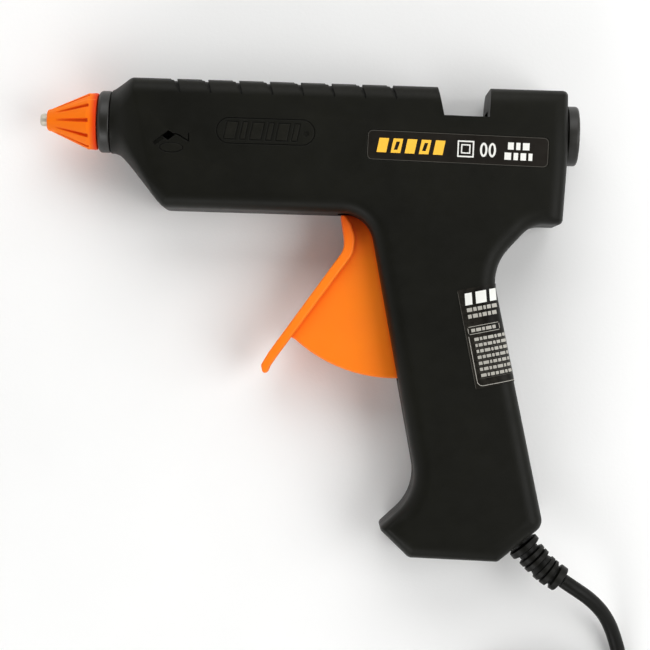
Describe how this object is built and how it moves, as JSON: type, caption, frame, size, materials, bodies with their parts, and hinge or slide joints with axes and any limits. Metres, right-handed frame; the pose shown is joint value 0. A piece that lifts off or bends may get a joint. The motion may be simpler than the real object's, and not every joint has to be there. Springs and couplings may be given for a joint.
{
  "type": "hot-melt glue gun",
  "caption": "Full-size electric glue gun: split black body, orange trigger that feeds the stick, fluted nozzle sleeve, ribbed cord relief and coiled mains lead.",
  "frame": {"origin": "bottom centre of the box around the gun without its cord, the gun lying on its right side", "axes": "+X to the rear of the gun, +Y to its top, +Z out of its left side, away from the surface it lies on"},
  "size_m": [0.2275, 0.306, 0.0346],
  "materials": {
    "black_plastic": "fine satin texture",
    "gloss_black": "glossy",
    "plate": "printed, satin",
    "sticker": "printed, satin",
    "tip_metal": "turned",
    "orange_silicone": "satin silicone",
    "orange_plastic": "moulded, satin gloss",
    "cast_aluminium": "die cast",
    "ceramic": "matte",
    "brass": "bright",
    "insulation": "polyimide film",
    "clear_silicone": "translucent silicone",
    "steel": "zinc plated",
    "brown_wire": "insulated wire",
    "blue_wire": "insulated wire",
    "nylon": "natural nylon",
    "cord_rubber": "matte"
  },
  "bodies": {
    "housing": {"housing_left": "black_plastic", "housing_right": "black_plastic", "housing_screw_1": "steel", "housing_screw_2": "steel", "housing_screw_3": "steel", "housing_screw_4": "steel", "housing_screw_5": "steel", "housing_screw_6": "steel", "housing_screw_7": "steel", "front_collar": "gloss_black", "stick_inlet_guide": "gloss_black", "name_plate": "plate", "rating_label": "sticker", "nozzle": "tip_metal", "nozzle_sleeve": "orange_silicone", "heating_chamber": "cast_aluminium", "ptc_heater": "ceramic", "heater_electrode_1": "brass", "heater_electrode_2": "brass", "heater_insulator": "insulation", "front_insulator": "ceramic", "feed_throat": "clear_silicone", "throat_clamp": "steel", "check_spring": "steel", "trigger_pin": "steel", "return_spring": "steel", "spring_post": "steel", "lead_live": "brown_wire", "lead_neutral": "blue_wire", "splice_live": "nylon", "splice_neutral": "nylon", "core_live": "brown_wire", "core_neutral": "blue_wire", "cord_tail": "cord_rubber", "cord_clamp": "nylon", "cord_clamp_screw_1": "steel", "cord_clamp_screw_2": "steel", "strain_relief": "cord_rubber", "cord": "cord_rubber", "cord_coil": "cord_rubber", "cord_plug_lead": "cord_rubber", "plug_body": "cord_rubber", "plug_pin_1": "brass", "plug_pin_2": "brass"},
    "trigger": {"trigger": "orange_plastic"},
    "carriage": {"feed_carriage": "nylon", "drive_pin": "steel", "jaw_pin": "steel", "jaw_spring": "steel"},
    "jaw": {"stick_jaw": "steel"},
    "ball": {"check_ball": "steel"}
  },
  "joints": [
    {"name": "trigger_pivot", "type": "hinge", "parent": "housing", "child": "trigger", "pos_m": [0.0322, 0.0338, 0.017], "axis": [0, 0, 1], "range_deg": [0, 28], "stiffness_Nm_per_rad": 0.4, "springref_deg": -8.59, "deforming": ["return_spring"]},
    {"name": "carriage_slide", "type": "slide", "parent": "housing", "child": "carriage", "axis": [-1, 0, 0], "range_m": [0, 0.01325]},
    {"name": "jaw_pivot", "type": "hinge", "parent": "carriage", "child": "jaw", "pos_m": [0.0405, 0.0807, 0.017], "axis": [0, 0, -1], "range_deg": [0, 6], "stiffness_Nm_per_rad": 0.05, "springref_deg": -11.46, "deforming": ["jaw_spring"]},
    {"name": "check_ball_slide", "type": "slide", "parent": "housing", "child": "ball", "axis": [-1, 0, 0], "range_m": [0, 0.0012], "stiffness_N_per_m": 60, "springref_m": -0.0005, "deforming": ["check_spring"]}
  ],
  "couplings": [
    {"joint": "carriage_slide", "follows": "trigger_pivot", "m_per_rad": 0.02703}
  ]
}
